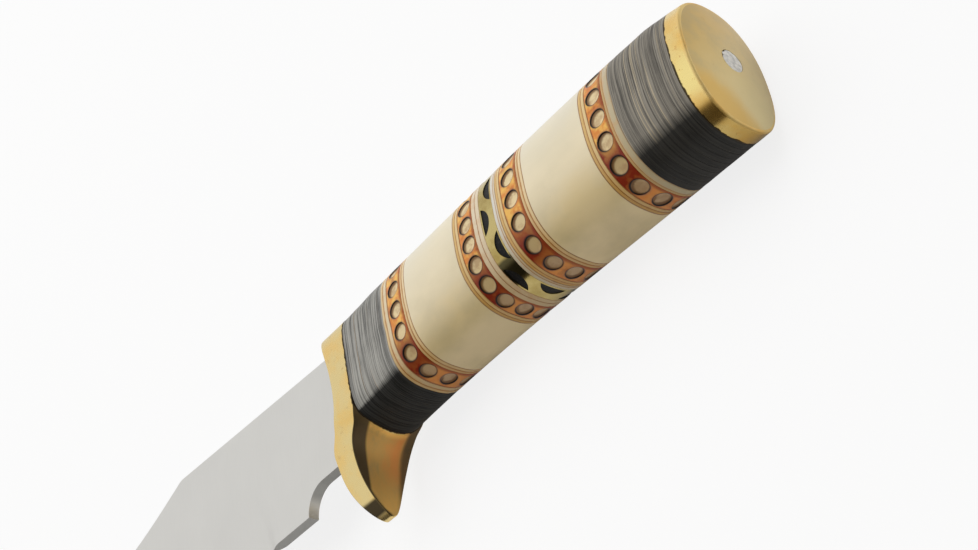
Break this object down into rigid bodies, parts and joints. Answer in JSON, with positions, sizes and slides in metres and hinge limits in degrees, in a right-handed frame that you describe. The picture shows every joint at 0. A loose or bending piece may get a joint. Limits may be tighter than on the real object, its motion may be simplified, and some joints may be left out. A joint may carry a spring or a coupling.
{
  "type": "hunting knife",
  "caption": "Fixed-blade hunting knife with a brass guard, a stacked handle of black discs, pitted bone rings and a pierced brass band, and a brass pommel peened on the tang.",
  "frame": {"origin": "on the table, under the middle of the knife's footprint as it lies on its side", "axes": "+X along the handle to the pommel, -Y to the cutting edge and the quillon, +Z out of the face of the blade that is up"},
  "size_m": [0.251, 0.0536, 0.024],
  "materials": {
    "blade_steel": "satin ground",
    "brass": "polished",
    "black_disc": "dyed black, buffed",
    "bone": "polished",
    "stained_bone": "stained and polished",
    "black_filling": "matt",
    "core_resin": "matt"
  },
  "bodies": {
    "root": {"blade": "blade_steel", "guard": "brass", "front_disc_1": "black_disc", "front_disc_2": "black_disc", "front_disc_3": "black_disc", "front_disc_4": "black_disc", "front_disc_5": "black_disc", "front_disc_6": "black_disc", "front_disc_7": "black_disc", "front_disc_8": "black_disc", "front_disc_9": "black_disc", "front_disc_10": "black_disc", "front_collar": "bone", "dotted_ring_1": "stained_bone", "spacer_ring_1": "bone", "front_barrel": "bone", "spacer_ring_2": "bone", "dotted_ring_2": "stained_bone", "fillet_ring_1": "bone", "fillet_ring_2": "bone", "wave_band": "brass", "wave_inlay": "black_filling", "fillet_ring_3": "bone", "fillet_ring_4": "bone", "dotted_ring_3": "stained_bone", "spacer_ring_3": "bone", "rear_barrel": "bone", "spacer_ring_4": "bone", "dotted_ring_4": "stained_bone", "rear_collar": "bone", "rear_disc_1": "black_disc", "rear_disc_2": "black_disc", "rear_disc_3": "black_disc", "rear_disc_4": "black_disc", "rear_disc_5": "black_disc", "rear_disc_6": "black_disc", "rear_disc_7": "black_disc", "rear_disc_8": "black_disc", "rear_disc_9": "black_disc", "rear_disc_10": "black_disc", "pommel": "brass", "handle_core": "core_resin"}
  },
  "joints": []
}
